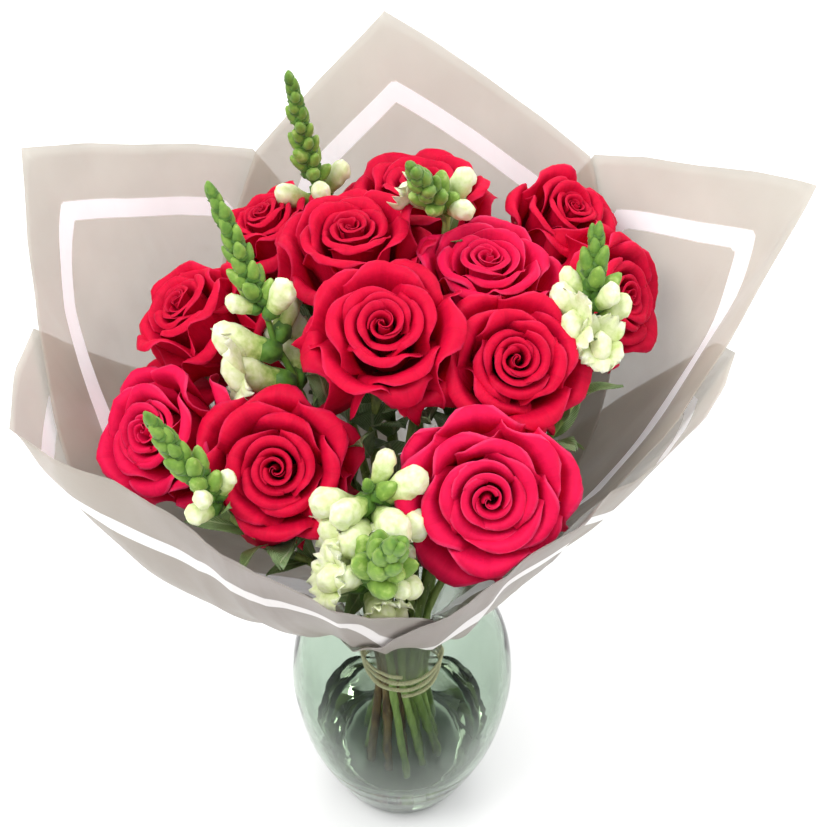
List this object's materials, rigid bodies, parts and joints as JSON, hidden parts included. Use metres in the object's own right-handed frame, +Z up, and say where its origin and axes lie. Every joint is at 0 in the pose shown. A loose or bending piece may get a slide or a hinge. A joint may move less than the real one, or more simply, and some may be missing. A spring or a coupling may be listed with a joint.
{
  "type": "roses in a vase",
  "caption": "Hand-tied bouquet of red roses and pale snapdragons in a flared film wrap, standing in a round-bellied clear glass vase of water.",
  "frame": {"origin": "centre of the vase's foot, on the surface it stands on", "axes": "+Z up, out of the vase's mouth; +Y towards the tall back of the wrap; +X to the right as seen from the front"},
  "size_m": [0.3973, 0.3072, 0.461],
  "materials": {
    "vase_glass": "clear pale green recycled glass",
    "water": "clear water",
    "twine": "twisted jute",
    "film": "frosted translucent film with a white border band",
    "rose_petal": "velvety petals",
    "rose_stem": "waxy green bark, reddish in places",
    "snapdragon_petal": "soft pale petals and green buds",
    "snapdragon_stem": "waxy light green",
    "leaf": "matt grey-green leaf with veins"
  },
  "bodies": {
    "root": {"vase": "vase_glass", "water": "water", "twine_tie": "twine", "wrap_back": "film", "wrap_left": "film", "wrap_right": "film", "wrap_front_left": "film", "wrap_front_right": "film", "rose_01_stem": "rose_stem", "rose_01_bloom": "rose_petal", "rose_02_stem": "rose_stem", "rose_02_bloom": "rose_petal", "rose_03_stem": "rose_stem", "rose_03_bloom": "rose_petal", "rose_04_stem": "rose_stem", "rose_04_bloom": "rose_petal", "rose_05_stem": "rose_stem", "rose_05_bloom": "rose_petal", "rose_06_stem": "rose_stem", "rose_06_bloom": "rose_petal", "rose_07_stem": "rose_stem", "rose_07_bloom": "rose_petal", "rose_08_stem": "rose_stem", "rose_08_bloom": "rose_petal", "rose_09_stem": "rose_stem", "rose_09_bloom": "rose_petal", "rose_10_stem": "rose_stem", "rose_10_bloom": "rose_petal", "rose_11_stem": "rose_stem", "rose_11_bloom": "rose_petal", "rose_12_stem": "rose_stem", "rose_12_bloom": "rose_petal", "snapdragon_1_stem": "snapdragon_stem", "snapdragon_1_spike": "snapdragon_petal", "snapdragon_2_stem": "snapdragon_stem", "snapdragon_2_spike": "snapdragon_petal", "snapdragon_3_stem": "snapdragon_stem", "snapdragon_3_spike": "snapdragon_petal", "snapdragon_4_stem": "snapdragon_stem", "snapdragon_4_spike": "snapdragon_petal", "snapdragon_5_stem": "snapdragon_stem", "snapdragon_5_spike": "snapdragon_petal", "snapdragon_6_stem": "snapdragon_stem", "snapdragon_6_spike": "snapdragon_petal", "snapdragon_7_stem": "snapdragon_stem", "snapdragon_7_spike": "snapdragon_petal", "rose_leaf_1": "leaf", "rose_leaf_2": "leaf", "rose_leaf_3": "leaf", "rose_leaf_4": "leaf", "rose_leaf_5": "leaf", "rose_leaf_6": "leaf"}
  },
  "joints": []
}
